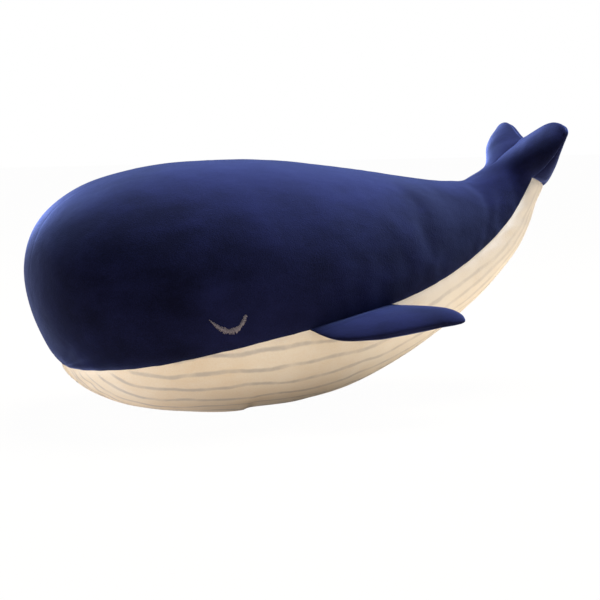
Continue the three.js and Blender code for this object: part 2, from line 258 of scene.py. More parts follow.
def skinNormals(points, rows, columns):
    # beside the fluke's corners the grid folds tightly, and the way that its edge swells serves instead; on
    # the last row the two faces meet and turn outwards the same way
    normals = gridNormals(points)
    first, length, halfWidth = flukeValues["fold"]
    atEdge = ramp(rows, stations + first, length)[:, None]
    atSeam = np.clip(2 - np.abs(mirroredColumn(columns) - 1) / halfWidth, 0, 1)[None, :]
    share = atEdge * atSeam
    grid = rows[:, None], columns[None, :]
    swelling = unit(skinPoints(*grid, bodyValues["cloth"]) - skinPoints(*grid))
    normals = unit(normals + share[..., None] * (swelling - normals))
    partner = np.argmin(np.abs(((2 - columns) % 4)[:, None] - columns[None, :]), axis=1)
    normals[-1] = unit(normals[-2] + normals[-2][partner])
    return normals


def gridIndex(shape, pole=False, ring=False):
    # the number of each point of a grid: with a pole the first row is one point, and a ring comes back to its
    # first column
    index = np.arange(shape[0] * shape[1]).reshape(shape[:2])
    if pole:
        index = np.maximum(index - shape[1] + 1, 0)
    return np.concatenate([index, index[:, :1]], axis=1) if ring else index


def gridQuads(index):
    return np.stack([index[:-1, :-1], index[:-1, 1:], index[1:, 1:], index[1:, :-1]], -1).reshape(-1, 4)


def listed(field, pole):
    # the grid's points or values in the order of their numbers
    rest = field.reshape(-1, *field.shape[2:])
    if pole:
        rest = np.concatenate([field[:1, field.shape[1] // 2], rest[field.shape[1]:]])
    return rest


def cloud(points, size, seed):
    # smooth random values from -1 to 1, with features of about this size
    cells = 32
    lattice = np.random.default_rng(seed).uniform(-1, 1, (cells, cells, cells))
    p = points / size + 1000.5
    i = np.floor(p).astype(int)
    f = eased(p - i)
    total = 0
    for corner in range(8):
        step = [(corner >> k) & 1 for k in range(3)]
        weight = 1
        for k in range(3):
            weight = weight * (f[..., k] if step[k] else 1 - f[..., k])
        total = total + weight * lattice[tuple((i[..., k] + step[k]) % cells for k in range(3))]
    return total


def closer(count, strength):
    # shares from 0 to 1 that lie closer at both ends
    s = np.linspace(0, 1, count + 1)
    return s - strength * np.sin(2 * np.pi * s) / (2 * np.pi)


def spreadRows(values):
    # rows lie closer at the nose, at the seam before the fluke and on the fluke's edge
    r = np.linspace(0, stations + 2, 4000)
    (nose, noseMore), (seam, seamMore), (edge, edgeMore) = values["closerRows"]
    density = 1 + noseMore * np.exp(-r / nose) + seamMore * np.exp(-((r - stations) / seam) ** 2)
    density = density + edgeMore * (r > stations + edge)
    total = np.concatenate([[0], np.cumsum((density[1:] + density[:-1]) / 2)])
    rows = np.interp(np.linspace(0, total[-1], values["rows"] + 1), total, r)
    rows[np.argmin(np.abs(rows - stations))] = stations
    rows[np.argmin(np.abs(rows - stations - 1))] = stations + 1
    return rows


def distanceRound(points):
    # the way along each closed row from its first point, and the whole way round
    step = np.linalg.norm(np.roll(points, -1, axis=1) - points, axis=-1)
    around = np.concatenate([np.zeros((len(points), 1)), np.cumsum(step, axis=1)], axis=1)
    return around[:, :-1], around[:, -1:]


def valley(distance, shape):
    depth, width = shape
    return depth * np.exp(-distance / width)


skinValues = {
    "rows": 300,
    "sideColumns": 60,
    "bellyColumns": 44,  # on each side of the belly's middle
    "closer": (0.6, 0.45),  # how much closer the columns lie at the seams, on the side and on the belly
    # and the rows: round the nose and the seam before the fluke, in stations, and from this share of the
    # fluke on, each with how much closer
    "closerRows": [(0.35, 2), (0.09, 1.6), (0.9, 2.5)],
    # each seam's valley: depth and width
    "sideSeam": (0.0020, 0.0060),
    "noseSeam": (0.5, 0.35),  # the stations over which it grows from the nose, and how deep it starts
    "backSeam": (0.0003, 0.0028),
    # the back seam's valley grows from this station, over so many, and ends past the tail, over so many
    "backEnds": (0.6, 1.2, 1.3, 0.6),
    "flukeSeam": (0.0004, 0.0040),
    "crossSeam": (0.0022, 0.0040),  # between belly and fluke
    "edgeSeam": (0.0008, 0.002),
    # how the fluke's upper and under side swell: height, where it is highest, its power, what the edge keeps
    "plump": [(0.007, 0.6, 1.4, 0.4), (0.005, 0.45, 0.8, 0.4)],
    "across": 0.7,  # the power of the swelling from seam to seam
    "droop": (0.0, -0.005, -0.005),  # of the right lobe's tip
    "soft": (0.3, 60),  # stations and passes
    "pucker": (0.0007, 0.011, 0.009, 11),  # height, reach from the seam, spacing along it, seed
    "puckerShape": (1, 0.6, 0.6),  # how much closer they lie along each axis
    "puckerBack": 0.6,  # how much of them shows at the back seam
    "lumps": (0.0011, 0.055, 5),  # height and size of the filling's unevenness, seed
    "smoother": (0.6, 0.8),  # how much less of it on the fluke, and the stations over which it grows
    # soft folds: station, column, half length in stations, half width in columns, depth
    "folds": [(3.25, 1.62, 0.5, 0.10, 0.0030), (0.75, 1.35, 0.16, 0.12, 0.0020),
              (1.05, 1.62, 0.2, 0.12, 0.0016), (2.35, 1.8, 0.5, 0.08, 0.0014),
              (0.55, 0.72, 0.35, 0.06, 0.0016), (0.75, 0.88, 0.4, 0.04, 0.0014),
              (7.3, 0.55, 0.3, 0.2, 0.0014), (6.2, 0.8, 0.5, 0.07, 0.0010)],
    # under the belly: station, its length, the way out, half width, depth
    "tuck": (3.36, 0.05, 0.9, 0.55, 0.0040),
    "nose": 0.0002,  # how far the point at the nose stands out
    # where the navy is made lighter or darker, partly as nap that lies differently and partly as painted
    # highlight along the top of the back and painted shade on the head, the lower flank, the tail and the
    # fluke's lobes: station, column, half length, half width, share
    "napAndPaintedLight": [(4.7, 0.38, 0.8, 0.2, 0.5), (3.8, 0.22, 0.6, 0.12, 0.3), (2.6, 0.3, 0.5, 0.2, -0.4),
                (6.15, 0.64, 0.6, 0.3, -0.75), (8.6, 0.75, 0.4, 0.4, -0.5), (3.9, 0.63, 0.5, 0.12, -0.25),
                (5.2, 0.6, 0.4, 0.2, -0.3)],
    # painted shade on the cream: darker and warmer where the belly lies towards the front, and paler towards
    # the rear, where more light falls
    "paintedRearLight": (3.2, 2.4, 0.55),  # the cream gets paler from this station, over its length, by this share
    "lying": (0.5, 0.5),  # and is warmer where the belly lies: half width in columns, share
}


# Cloth simulation of the stuffed skin: the seams hold, and the cloth between them swells and wrinkles.
swellValues = {
    "rows": 96,
    "columns": 96,
    "first": 0.03,  # the first row's station
    "pressure": 4.0,
    "smaller": 0.0005,  # how much smaller it starts
    "spare": 0.02,  # spare cloth between the seams
    "frames": 20,
    "cap": 0.008,  # the most that it swells
    "keep": 0.1,  # how much of the even swelling stays
    "wrinkles": 0.4,  # and how much of its wrinkles
    "blur": 7,  # how far the even swelling is averaged, in rows and columns
    "fade": 1 / 3,  # the share of the fluke before its edge over which the swelling ends
    "cloth": {
        "quality": 4,
        "mass": 0.25,
        "tension_stiffness": 12,
        "compression_stiffness": 12,
        "shear_stiffness": 4,
        "bending_stiffness": 0.4,
        "vertex_group_mass": "held",
        "use_pressure": True,
    },
}


def smoothed(field, reach):
    # a repeated box blur, closed round the columns
    size = 2 * reach + 1
    for _ in range(3):
        wide = np.pad(field, ((reach, reach), (0, 0)), mode="edge")
        field = sum(wide[k:k + len(field)] for k in range(size)) / size
        field = sum(np.roll(field, k, axis=1) for k in range(-reach, reach + 1)) / size
    return field


def simulatedSwell(values):
    rows = np.linspace(values["first"], stations + 1, values["rows"])
    columns = np.arange(values["columns"]) * 4 / values["columns"]
    start = skinPoints(rows[:, None], columns[None, :])
    normals = gridNormals(start)
    points = start - values["smaller"] * normals
    index = gridIndex(start.shape)
    faces = gridQuads(gridIndex(start.shape, ring=True)).tolist()
    faces = faces + [index[0, ::-1].tolist(), index[-1].tolist()]
    mesh = bpy.data.meshes.new("swellCloth")
    mesh.from_pydata(points.reshape(-1, 3).tolist(), [], faces)
    mesh.update()
    body = bpy.data.objects.new("swellCloth", mesh)
    scene.collection.objects.link(body)
    held = body.vertex_groups.new(name="held")
    seamColumns = [round(c * values["columns"] / 4) for c in (1, 3)]
    for part in (index[:, seamColumns], index[:2], index[-2:]):
        held.add(part.ravel().tolist(), 1.0, "REPLACE")
    cloth = body.modifiers.new("cloth", "CLOTH")
    for name, value in values["cloth"].items():
        setattr(cloth.settings, name, value)
    cloth.settings.uniform_pressure_force = values["pressure"]
    cloth.settings.shrink_min = -values["spare"]
    cloth.settings.effector_weights.gravity = 0
    cloth.collision_settings.use_collision = False
    cloth.point_cache.frame_start = 1
    cloth.point_cache.frame_end = values["frames"]
    for number in range(1, values["frames"] + 1):
        scene.frame_set(number)
    evaluated = body.evaluated_get(bpy.context.evaluated_depsgraph_get())
    moved = np.zeros(len(mesh.vertices) * 3)
    evaluated.data.vertices.foreach_get("co", moved)
    scene.frame_set(1)
    bpy.data.objects.remove(body)
    rise = ((moved.reshape(start.shape) - start) * normals).sum(-1)
    rise = values["cap"] * np.tanh(rise / values["cap"])
    even = smoothed(rise, values["blur"])
    print("stage: cloth swelled by", round(float(np.abs(rise).max()) * 1000, 1), "mm at most,",
          "wrinkles of", round(float(np.std(rise - even)) * 1000, 2), "mm")
    return rows, values["keep"] * even + values["wrinkles"] * (rise - even)


def plumped(points, rows, columns, values):
    # the filling swells each lobe of the fluke between its seams
    run = ramp(rows, stations, 1)[:, None]
    edge = np.cos(np.pi / 2 * ramp(rows, stations + 1, 1))[:, None] ** 2
    column = mirroredColumn(columns)[None, :]
    turns = np.pi * np.minimum(column, 1), np.pi / 2 * np.maximum(column - 1, 0)
    across = [np.sin(turn) ** values["across"] for turn in turns]
    rise = 0
    for (height, peak, power, left), bulge in zip(values["plump"], across):
        past = ramp(run, peak, 1 - peak)
        swell = np.sin(np.pi / 2 * np.minimum(run / peak, 1) ** power)
        rise = rise + height * swell * (left + (1 - left) * (1 + np.cos(np.pi * past)) / 2) * bulge
    return points + skinNormals(points, rows, columns) * (rise * edge)[..., None]


def drooped(points, rows, values):
    # the tip of the right lobe hangs a little inwards
    run = ramp(rows, stations, 1)[:, None]
    out = ramp(points[..., 1], 0, flukeValues["span"] / 2)
    return points + (run * out ** 2)[..., None] * np.array(values["droop"])


def softened(points, rows, columns, values):
    # the side covers run softly from the tail into the fluke
    reach, times = values["soft"]
    share = np.exp(-((rows[1:-1] - stations) / reach) ** 2)[:, None]
    share = (share * ramp(mirroredColumn(columns), 1, -0.25)[None, :])[..., None]
    for _ in range(times):
        points[1:-1] += 0.5 * share * ((points[:-2] + points[2:]) / 2 - points[1:-1])
    return points


def makeSkin(values):
    rows = spreadRows(values)
    side = closer(values["sideColumns"], values["closer"][0])
    belly = closer(values["bellyColumns"], values["closer"][1])
    columns = np.concatenate([side[:-1], 1 + belly[:-1], 2 + belly[:-1], 3 + side[:-1]])
    points = skinPoints(rows[:, None], columns[None, :])
    points = drooped(plumped(points, rows, columns, values), rows, values)
    points = softened(points, rows, columns, values)
    normals = skinNormals(points, rows, columns)
    count = len(columns)
    seams = {"back": 0, "left": values["sideColumns"], "right": count - values["sideColumns"]}

    # distance from each seam, measured round the whale
    around, whole = distanceRound(points)
    fromBack = np.minimum(around, whole - around)
    fromSide = np.minimum(*(np.abs(around - around[:, [seams[side]]]) for side in ("left", "right")))
    seamRow = int(np.argmin(np.abs(rows - stations)))
    lengths = np.linalg.norm(np.diff(points, axis=0), axis=-1)
    along = np.concatenate([np.zeros((1, count)), np.cumsum(lengths, axis=0)])
    fromCross = np.abs(along - along[seamRow])
    fromEdge = np.abs(rows - stations - 2)[:, None] * flukeValues["edge"] * flukeValues["round"]
    under = (columns >= 1) & (columns <= 3)

    onFluke = ramp(rows, stations, 0.25)[:, None]
    inset = valley(fromSide, values["sideSeam"]) * (1 - onFluke)
    inset = inset + valley(fromSide, values["flukeSeam"]) * onFluke
    growing, least = values["noseSeam"]
    inset = inset * (least + (1 - least) * ramp(rows, 0, growing)[:, None])
    start, growing, end, ending = values["backEnds"]
    onBack = ramp(rows, start, growing) * ramp(rows, stations + end, -ending)
    for seam in (valley(fromBack, values["backSeam"]) * onBack[:, None],
                 valley(fromCross, values["crossSeam"]) * under, valley(fromEdge, values["edgeSeam"])):
        inset = np.maximum(inset, seam)

    height, reach, spacing, seed = values["pucker"]
    nearSeam = np.exp(-np.minimum(fromSide, np.where(under, fromCross, np.inf)) / reach)
    nearSeam = nearSeam + values["puckerBack"] * np.exp(-fromBack / reach)
    rise = height * nearSeam * cloud(points * values["puckerShape"], spacing, seed)
    lump, size, seed = values["lumps"]
    less, growing = values["smoother"]
    rise = rise + lump * cloud(points, size, seed) * (1 - less * onFluke) * ramp(rows, 0, growing)[:, None]
    mirrored = mirroredColumn(columns)[None, :]
    for station, column, halfLength, halfWidth, depth in values["folds"]:
        away = ((rows[:, None] - station) / halfLength) ** 2 + ((mirrored - column) / halfWidth) ** 2
        rise = rise - depth * np.exp(-away)
    station, length, out, halfWidth, depth = values["tuck"]
    behind = np.maximum(rows - station, 0)[:, None]
    across = np.exp(-((mirrored - 2) / halfWidth) ** 2)
    rise = rise - depth * (1 - np.exp(-behind / length)) * np.exp(-(behind / out) ** 2) * across

    swellRows, swell = simulatedSwell(swellValues)
    place = np.interp(np.minimum(rows, stations + 1), swellRows, np.arange(len(swellRows)))
    fine = spline(swell, place)
    turn = columns * swell.shape[1] / 4
    wrapped = np.concatenate([fine, fine[:, :4]], axis=1)
    fine = spline(wrapped.T, turn % swell.shape[1]).T
    rise = rise + fine * ramp(rows, stations + 1, -swellValues["fade"])[:, None]

    moved = points + normals * (rise - inset)[..., None]
    moved[..., 2] = np.maximum(moved[..., 2], 0)
    moved[0] = moved[1].mean(0) + normals[0] * values["nose"]
    normals = skinNormals(moved, rows, columns)
    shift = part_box("left_side_cover")[0].x - points[..., 0].min()
    moved[..., 0] += shift
    return {"shift": shift, "rows": rows, "columns": columns, "points": moved, "normals": normals,
            "seams": seams, "seamRow": seamRow}


skin = makeSkin(skinValues)
print("stage: skin shaped", skin["points"].shape)


def makeMesh(name, points, faces):
    mesh = bpy.data.meshes.new(name)
    mesh.from_pydata(points.tolist(), [], [tuple(dict.fromkeys(face)) for face in faces.tolist()])
    mesh.polygons.foreach_set("use_smooth", [True] * len(mesh.polygons))
    mesh.set_sharp_from_angle(angle=math.radians(60))
    mesh.update()
    piece = bpy.data.objects.new(name, mesh)
    scene.collection.objects.link(piece)
    return piece


def makeShell(name, points, normals, thickness, pole):
    # a closed shell of cloth: the outer face, the inner face and the rim between them
    pull = bodyValues["sewn"] / 2
    points = points.copy()
    points[:, 0] += pull * unit(points[:, 1] - points[:, 0])
    points[:, -1] += pull * unit(points[:, -2] - points[:, -1])
    points[-1] += pull * unit(points[-2] - points[-1])
    ahead = points[1] - points[0]
    points[0] += pull * unit(ahead[points.shape[1] // 2] if pole else ahead)
    index = gridIndex(points.shape, pole)
    count = index[-1, -1] + 1
    quads = gridQuads(index)
    front = [] if pole else [index[0, :0:-1]]
    rim = np.concatenate([index[:, 0], index[-1, 1:], index[-2:0:-1, -1], *front])
    after = np.roll(rim, -1)
    rimQuads = np.stack([rim, after, after + count, rim + count], -1)
    faces = np.concatenate([quads, quads[:, ::-1] + count, rimQuads])
    layers = [listed(layer, pole) for layer in (points, points - normals * thickness)]
    return makeMesh(name, np.concatenate(layers), faces)


def setValues(piece, name, field):
    # a value for each point of a shell with a pole, from one for each point of its grid
    attribute = piece.data.attributes.new(name, "FLOAT", "POINT")
    attribute.data.foreach_set("value", np.tile(listed(field, True), 2).astype(np.float32))


def skinPart(firstRow, lastRow, firstColumn, lastColumn):
    picked = np.arange(firstColumn, lastColumn + 1) % len(skin["columns"])
    rows = slice(firstRow, lastRow + 1)
    return skin["points"][rows][:, picked].copy(), skin["normals"][rows][:, picked].copy(), picked


# Printed lines of the belly: each starts at the front edge and runs back, a little wavy
lineValues = {
    "spacing": 0.054,  # of half a turn, counted from the belly's middle
    "starts": [0.2, 0.3, 0.5, 0.72, 1.0, 1.3, 1.66, 2.4],  # stations, from the middle line outwards
    "begin": 0.10,  # the stations over which the print begins
    "sweep": 0.34,  # how soon a line leaves the edge, in stations
    "wavy": 0.3,  # and how soon it gets wavy
    "wave": 0.0035,  # how far a line wanders, of half a turn
    "waves": [(1.0, 1.13, 1.7), (0.45, 0.57, 2.9)],  # share, stations from crest to crest, turn for each line
    "gather": (0.018, 6.3, 1.2),  # how far the lines draw together, from which station, over how many
    "fade": (3.5, 7.0, 0.4),  # the stations between which the print fades, and what is left of it
}


def lineField(rows, share):
    # the number of lines from the belly's middle, whole on each line, and where a line is printed
    spacing = lineValues["spacing"]
    count = len(lineValues["starts"])
    drawn, gatherFrom, gatherOver = lineValues["gather"]
    offset = []
    for k, start in enumerate(lineValues["starts"]):
        home = spacing * k
        gone = np.maximum(rows - start, 0)
        wave = sum(part * np.sin(2 * np.pi * rows / length + turn * k)
                   for part, length, turn in lineValues["waves"])
        wave = lineValues["wave"] * wave * min(k, 1) * (1 - np.exp(-gone / lineValues["wavy"]))
        gathered = drawn * ramp(rows, gatherFrom, gatherOver) * k / count
        edge = (1 - seamShare(rows)) - home
        offset.append(home - gathered + edge * np.exp(-gone / lineValues["sweep"]) + wave)
    offset = np.array(offset)
    away = np.abs(1 - share)
    number = np.zeros_like(share)
    spaceAt = np.zeros_like(share)
    started = np.zeros_like(share)
    for i in range(share.shape[0]):
        line = np.maximum.accumulate(offset[:, i]) + np.arange(count) * 1e-5
        line = np.concatenate([[line[0] - 2 * spacing, line[0] - spacing], line, [line[-1] + spacing]])
        number[i] = np.interp(away[i], line, np.arange(-2, count + 1))
        gap = np.diff(line)
        spaceAt[i] = gap[np.clip(np.floor(number[i]).astype(int) + 2, 0, count + 1)]
        begun = ramp(rows[i], np.array(lineValues["starts"]), lineValues["begin"])
        begun = np.concatenate([[0, 0], begun, [0]])
        started[i] = begun[np.clip(np.round(number[i]).astype(int) + 2, 0, count + 2)]
    first, last, least = lineValues["fade"]
    started = started * (1 - (1 - least) * ramp(rows, first, last - first))[:, None]
    return number, spaceAt, started


def makeCovers():
    count = len(skin["columns"])
    left, right = skin["seams"]["left"], skin["seams"]["right"]
    lastRow = len(skin["rows"]) - 1
    seamRow = skin["seamRow"]
    cloth = bodyValues["cloth"]
    covers = {}
    for side, first, last in (("left", 0, left), ("right", right, count)):
        points, normals, picked = skinPart(0, lastRow, first, last)
        covers[side] = makeShell(side + "SideCover", points, normals, cloth, True)
        across = skin["columns"] if side == "left" else mirroredColumn(skin["columns"])
        # the navy's lighter and darker patches: partly nap, partly painted highlight along the top and
        # painted shade on the head, flank, tail and fluke
        nap = 0
        for station, column, halfLength, halfWidth, share in skinValues["napAndPaintedLight"]:
            along = ((skin["rows"][:, None] - station) / halfLength) ** 2
            nap = nap + share * np.exp(-along - ((across[picked][None, :] - column) / halfWidth) ** 2)
        setValues(covers[side], "napAndPaintedLight", nap)
    points, normals, picked = skinPart(0, seamRow, left, right)
    covers["belly"] = makeShell("bellyCover", points, normals, cloth, True)
    rows = skin["rows"][:seamRow + 1]
    share = columnAngle(skin["columns"][picked][None, :], seamShare(rows)[:, None]) / np.pi
    number, spaceAt, started = lineField(rows, share)
    halfRound = (bodySection(rows)[2] * np.pi)[:, None]
    # painted shade on the cream: darker and warmer under the belly towards the front, paler towards the rear
    first, length, rearLightShare = skinValues["paintedRearLight"]
    paintedRearLight = ramp(rows, first, length)[:, None]
    halfWidth, underShadeShare = skinValues["lying"]
    lying = np.exp(-((2 - mirroredColumn(skin["columns"][picked])) / halfWidth) ** 2)[None, :]
    fields = {"napAndPaintedLight": rearLightShare * paintedRearLight - underShadeShare * lying * (1 - paintedRearLight), "lineNumber": number,
              "lineGap": spaceAt * halfRound, "linePrinted": started}
    for name, field in fields.items():
        setValues(covers["belly"], name, field)
    points, normals, _ = skinPart(seamRow, lastRow, left, right)
    covers["fluke"] = makeShell("flukeUnderCover", points, normals, cloth, False)
    return covers


covers = makeCovers()
print("stage: covers made")


# Loose fibre inside the body, seen only where the covers are taken off
fillingValues = {
    "depth": 0.0026,
    "lump": 0.0012,
    "size": 0.02,
    "seed": 3,
    "thin": (1.6, 0.8, 0.25),  # the lumps end so far past the tail, over so many stations, but for a share
    "skip": 3,
    "columns": 112,
}


def weld(piece, distance):
    shape = bmesh.new()
    shape.from_mesh(piece.data)
    bmesh.ops.remove_doubles(shape, verts=shape.verts, dist=distance)
    shape.to_mesh(piece.data)
    shape.free()


def closedForm(name, points):
    # a closed form from rows of points that run round it: the first row is one point, and the last row's
    # points meet in pairs
    faces = gridQuads(gridIndex(points.shape, pole=True, ring=True))
    piece = makeMesh(name, listed(points, True), faces)
    weld(piece, 1e-6)
    return piece


def betweenColumns(grid, place):
    closed = np.concatenate([grid, grid[:, :1]], axis=1)
    first = np.minimum(np.floor(place).astype(int), grid.shape[1] - 1)
    share = (place - first)[None, :, None]
    return closed[:, first] * (1 - share) + closed[:, first + 1] * share


def makeBodyFilling(values):
    last = len(skin["rows"]) - 1
    rows = np.unique(np.append(np.arange(0, last + 1, values["skip"]), [skin["seamRow"], last]))
    count = values["columns"]
    columns = np.append(skin["columns"], 4)
    place = np.interp(np.arange(count) * 4 / count, columns, np.arange(len(columns)))
    points, normals = (betweenColumns(skin[key][rows], place) for key in ("points", "normals"))
    lumps = values["lump"] * (1 + cloud(points, values["size"], values["seed"])) / 2
    end, length, least = values["thin"]
    thin = np.maximum(ramp(skin["rows"][rows], stations + end, -length), least)[:, None]
    points = points - normals * (values["depth"] + lumps * thin)[..., None]
    points[..., 2] = np.maximum(points[..., 2], values["depth"])
    partner = (count // 2 - np.arange(count)) % count
    points[-1] = (points[-1] + points[-1][partner]) / 2
    return closedForm("bodyFilling", points)


bodyFilling = makeBodyFilling(fillingValues)
print("stage: body filling made")


# Flippers. A flipper's own frame has X along its root from back to front, Y outwards and Z to its upper
# side, and the hinge is the X axis.
flipperValues = {
    "root": 0.125,
    "reach": 0.066,
    "thickness": 0.019,
    "cloth": 0.0015,
    "turn": 10.0,  # degrees down from square to the side
    "place": 0.5,  # where the root starts on the side seam, as a share of the stations
    # from the front of the root round the tip, in root lengths backwards and reaches outwards
    "edge": [(0, 0), (0.05, 0.46), (0.42, 0.76), (0.86, 0.9), (1.2, 1.02), (1.45, 1.2), (1.5, 0.82),
             (1.4, 0.47), (1.22, 0.25), (1.06, 0.1), (1, 0)],
    "plump": [0, 0.8, 1.05, 1.1, 0.9, 0.5],  # from the tip to the root, in thicknesses
    "rows": 60,
    "columns": 96,
    "closer": 0.5,
    "skip": 3,  # the filling has one row and column for so many of the cloth's
    "seeds": {"left": 20, "right": 40},
    "clear": 0.0008,  # between the filling and its cloth
    # as on the skin, with the seeds above
    "seam": (0.0009, 0.0022),
    "pucker": (0.0005, 0.006, 0.006),
    "lumps": (0.0008, 0.028),
    "even": (0.8, 0.6),  # stations at the tip and at the root over which these three begin
    "inwards": 0.8,  # the filling keeps away from the edge towards a place so many stations further in
    "tuck": 0.0022,  # how deep the root is sewn into the side seam
    "closed": 0.5,  # how much thinner the root is where it is sewn
    "closing": 0.010,  # and over which length
    "follow": 0.45,  # and follows the side seam over this share of the reach
    "bend": (0.001, 0.020),  # where the cloth bends, measured out from the hinge
}
flipperStations = len(flipperValues["plump"]) - 1


def seamLine(t):
    points = skinPoints(np.asarray(t, float), 1.0)
    points[..., 0] += skin["shift"]
    return points


def flipperFrame(values):
    first = values["place"] * stations
    t = np.linspace(first, stations, 401)
    line = seamLine(t)
    far = int(np.argmax(np.linalg.norm(line - line[0], axis=-1) >= values["root"]))
    front, back = line[0], line[far]
    along = unit(front - back)
    middle = (t[0] + t[far]) / 2
    angle = seamShare(middle) * np.pi
    around = bodyPoints(np.array([middle, middle]), np.array([angle - 0.01, angle + 0.01]))
    outwards = unit(np.cross(along, around[1] - around[0]))
    bulge = max(0, ((line[:far + 1] - back) @ outwards).max())
    origin = back + outwards * (bulge + values["thickness"] / 2 * values["plump"][-1] + bodyValues["gap"])
    turn = np.array(Matrix.Rotation(math.radians(-values["turn"]), 3, Vector(along)))
    out = turn @ outwards
    axes = np.stack([along, out, np.cross(along, out)])
    return {"origin": origin, "axes": axes, "line": line[:far + 1][::-1]}


def flipperPoints(values, home, t, angle, depth=0.0):
    edge = np.array([((1 - along) * values["root"], out * values["reach"]) for along, out in values["edge"]])
    inside = np.minimum(t + values["inwards"], flipperStations)
    heart = (spline(edge, flipperStations - inside) + spline(edge, flipperStations + inside)) / 2
    front, back = (spline(edge, flipperStations + sign * t) for sign in (-1, 1))
    front, back = (point + unit(heart - point) * depth for point in (front, back))
    swing = ((1 + np.cos(angle)) / 2)[..., None]
    plan = back * (1 - swing) + front * swing
    full = values["thickness"] / 2 * spline(values["plump"], t)
    thick = np.hypot(full, depth) - depth
    # towards the root it closes on its cloth and follows the side seam
    thick = thick * (1 - values["closed"] * eased(ramp(plan[..., 1], values["closing"], -values["closing"])))
    local = np.stack([plan[..., 0], plan[..., 1], thick * np.sin(angle)], -1)
    world = home["origin"] + local @ home["axes"]
    share = ramp(plan[..., 0], 0, values["root"])
    place = share * (len(home["line"]) - 1)
    places = np.arange(len(home["line"]))
    seam = np.stack([np.interp(place, places, home["line"][:, k]) for k in range(3)], -1)
    chord = home["origin"] + share[..., None] * values["root"] * home["axes"][0]
    reach = values["follow"] * values["reach"]
    near = eased(ramp(plan[..., 1], reach, -reach))[..., None]
    return world + near * (seam - home["axes"][1] * values["tuck"] - chord)


def makeFlipper(values, home, side):
    t = flipperStations * closer(values["rows"], values["closer"])
    half = values["columns"] // 2
    face = np.pi * closer(half, values["closer"])
    angle = np.concatenate([face[:-1], np.pi + face[:-1]])
    points = flipperPoints(values, home, t[:, None], angle[None, :])
    normals = gridNormals(points)
    around, whole = distanceRound(points)
    fromEdge = np.minimum(np.abs(around - around[:, [half]]), np.minimum(around, whole - around))
    height, reach, spacing = values["pucker"]
    lump, size = values["lumps"]
    seed = values["seeds"][side]
    atTip, atRoot = values["even"]
    even = (ramp(t, 0, atTip) * ramp(t, flipperStations, -atRoot))[:, None]
    rise = height * np.exp(-fromEdge / reach) * cloud(points, spacing, seed) * even
    rise = rise + lump * cloud(points, size, seed + 1) * even - valley(fromEdge, values["seam"]) * even
    points = points + normals * rise[..., None]
    normals = gridNormals(points)
    wrap = np.append(np.arange(len(angle)), 0)
    parts = {}
    for part, picked in (("Upper", wrap[:half + 1]), ("Under", wrap[half:])):
        name = side + "Flipper" + part + "Cover"
        parts[part] = makeShell(name, points[:, picked], normals[:, picked], values["cloth"], True)
    coarse = angle[::values["skip"]]
    depth = values["cloth"] + bodyValues["gap"] + values["clear"]
    inner = flipperPoints(values, home, t[::values["skip"], None], coarse[None, :], depth)
    partner = np.argmin(np.abs(((2 * np.pi - coarse) % (2 * np.pi))[:, None] - coarse[None, :]), axis=1)
    inner[-1] = (inner[-1] + inner[-1][partner]) / 2
    parts["Filling"] = closedForm(side + "FlipperFilling", inner)
    if side == "right":
        for part in parts.values():
            part.data.transform(Matrix.Scale(-1, 4, (0, 1, 0)))
            part.data.flip_normals()
    return parts


flipperHome = flipperFrame(flipperValues)
flippers = {side: makeFlipper(flipperValues, flipperHome, side) for side in ("left", "right")}
print("stage: flippers made, hinge at", [round(float(v), 5) for v in flipperHome["origin"]])


# Closed eyes in satin stitch
eyeValues = {
    "front": (3.014, 0.5220),  # the corners, in stations and shares of half a turn
    "rear": (3.394, 0.5241),
    "low": (-0.0534, 0.0356),  # from the line between the corners to the lowest point
    "arc": [(0, 0), (0.2, 0.5), (0.42, 0.9), (0.64, 1.06), (0.8, 0.92), (0.94, 0.55), (1, 0)],
    "band": 0.0066,  # width of the stitching in the middle
    "taper": (0.93, 0.5, 1.5),  # how much narrower it is at its front and rear ends, and the power
    "points": 61,  # along the line
    "lift": 0.0004,
    "facets": (7, 6),  # along each stitch and round it
    "sunk": 0.6,  # how far its ends sink into the cloth, in threads
    "spacing": 0.00085,
    "thread": 0.00085,
    "arch": 0.0009,
    "uneven": 0.55,  # how much longer or shorter a stitch can be, as a share
    "slant": 0.30,  # in radians at most
    "seed": 7,
}
stitchSizes = ("Spacing", "Thread", "Arch", "Uneven", "Slant")


def onSkin(station, column):
    # a place on the shaped skin, with its normal
    i = np.interp(station, skin["rows"], np.arange(len(skin["rows"])))
    j = np.interp(column, skin["columns"], np.arange(len(skin["columns"])))
    r, c = int(i), int(j)
    spots = []
    for grid in (skin["points"], skin["normals"]):
        top, low = (grid[k, c] * (1 - (j - c)) + grid[k, c + 1] * (j - c) for k in (r, r + 1))
        spots.append(top * (1 - (i - r)) + low * (i - r))
    return spots[0], unit(spots[1])


def addSocket(tree, name, kind, value=None, output=False):
    socket = tree.interface.new_socket(name=name, in_out="OUTPUT" if output else "INPUT", socket_type=kind)
    if value is not None:
        socket.default_value = value
    return socket


def addNode(tree, kind, inputs, output=0, **settings):
    # a node whose inputs are linked to sockets or set to values; gives back one of its outputs
    node = tree.nodes.new(kind)
    for name, value in settings.items():
        setattr(node, name, value)
    for key, value in inputs.items():
        if isinstance(value, bpy.types.NodeSocket):
            tree.links.new(value, node.inputs[key])
        else:
            node.inputs[key].default_value = value
    return node.outputs[output] if node.outputs else None


def mathNode(tree, operation, first, second=None, clamp=False):
    values = {k: value for k, value in enumerate((first, second)) if value is not None}
    return addNode(tree, "ShaderNodeMath", values, operation=operation, use_clamp=clamp)


